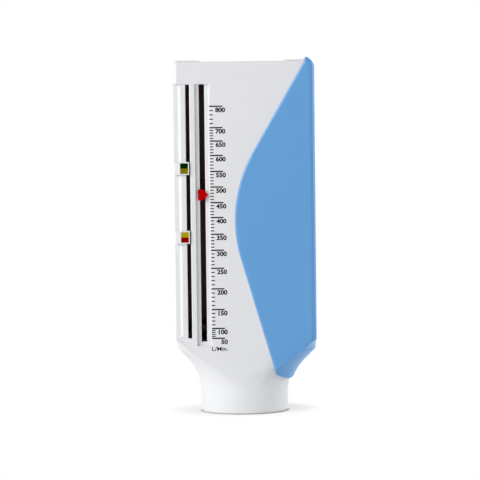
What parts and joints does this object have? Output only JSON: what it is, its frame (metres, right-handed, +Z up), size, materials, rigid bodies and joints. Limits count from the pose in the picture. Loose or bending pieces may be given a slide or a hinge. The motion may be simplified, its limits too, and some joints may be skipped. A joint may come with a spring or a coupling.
{
  "type": "peak flow meter",
  "caption": "Upright hand-held peak flow meter: flat white housing over an oval mouth tube, blue side grip cover, slotted scale front, sliding pointer, zone markers and sprung vane.",
  "frame": {"origin": "centre of the mouth tube's rim, on the tube's axis, at the plane on which the meter stands", "axes": "+Z up along the tube's axis, +X to the right of the scale, the scale's face looks along -Y"},
  "size_m": [0.0614, 0.0324, 0.156],
  "materials": {
    "housing_white": "satin moulded white",
    "cover_blue": "smooth satin light blue",
    "pointer_red": "smooth red",
    "follower_black": "fine matte black",
    "blued_steel": "blued spring strip",
    "marker_white": "smooth white",
    "chip_green": "smooth green",
    "chip_yellow": "smooth yellow",
    "chip_red": "smooth red",
    "vane_plastic": "fine matte dark plastic",
    "frame_plastic": "fine matte white",
    "bush_plastic": "waxy natural plastic",
    "rod_steel": "drawn and polished",
    "spring_steel": "bright wire",
    "bumper_rubber": "soft matte"
  },
  "bodies": {
    "housing": {"front_shell": "housing_white", "rear_shell": "housing_white", "grip_cover": "cover_blue", "guide_rod": "rod_steel", "rod_foot_frame": "frame_plastic", "rod_foot_clip": "spring_steel", "lower_bumper": "bumper_rubber", "upper_bumper": "bumper_rubber", "spring_top_washer": "rod_steel", "rod_top_socket": "frame_plastic", "return_spring": "spring_steel"},
    "pointer_slider": {"pointer": "pointer_red", "pointer_follower": "follower_black", "pointer_friction_spring": "blued_steel"},
    "upper_marker": {"upper_zone_marker": "marker_white", "upper_marker_green_chip": "chip_green", "upper_marker_yellow_chip": "chip_yellow"},
    "lower_marker": {"lower_zone_marker": "marker_white", "lower_marker_yellow_chip": "chip_yellow", "lower_marker_red_chip": "chip_red"},
    "vane_slider": {"vane": "vane_plastic", "vane_bush": "bush_plastic", "vane_clip": "spring_steel", "spring_seat": "rod_steel"}
  },
  "joints": [
    {"name": "pointer_slide", "type": "slide", "parent": "housing", "child": "pointer_slider", "axis": [0, 0, 1], "range_m": [-0.0627, 0.0457]},
    {"name": "upper_marker_slide", "type": "slide", "parent": "housing", "child": "upper_marker", "axis": [0, 0, 1], "range_m": [-0.012, 0.0333]},
    {"name": "lower_marker_slide", "type": "slide", "parent": "housing", "child": "lower_marker", "axis": [0, 0, 1], "range_m": [-0.0405, 0.012]},
    {"name": "vane_slide", "type": "slide", "parent": "housing", "child": "vane_slider", "axis": [0, 0, 1], "range_m": [0, 0.102], "stiffness_N_per_m": 3, "springref_m": -0.02, "deforming": ["return_spring"]}
  ]
}
